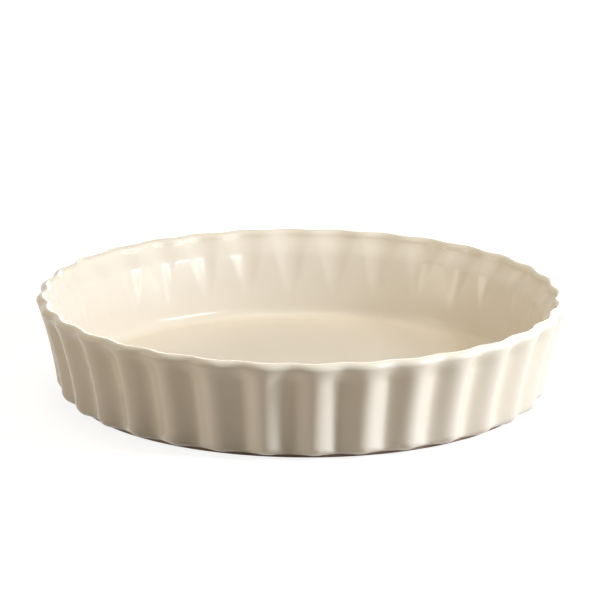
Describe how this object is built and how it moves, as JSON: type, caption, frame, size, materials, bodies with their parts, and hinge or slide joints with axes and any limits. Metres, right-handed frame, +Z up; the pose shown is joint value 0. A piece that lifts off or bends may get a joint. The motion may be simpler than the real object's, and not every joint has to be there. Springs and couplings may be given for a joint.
{
  "type": "flan dish",
  "caption": "Round deep flan dish in cream glazed stoneware, with a flared fluted wall, rounded scalloped lip, flat floor and bare clay foot ring, for baking and serving.",
  "frame": {"origin": "on the dish's axis, on the surface that the foot ring stands on", "axes": "+Z up along the dish's axis, with the crest of a lobe facing -Y"},
  "size_m": [0.28, 0.28, 0.054],
  "materials": {
    "cream_glaze": "smooth glossy cream glaze over stoneware",
    "bare_clay": "bare fired clay, matt and slightly rough"
  },
  "bodies": {
    "root": {"foot_ring": "bare_clay", "floor_disc": "cream_glaze", "fluted_wall": "cream_glaze", "rim_lip": "cream_glaze"}
  },
  "joints": []
}
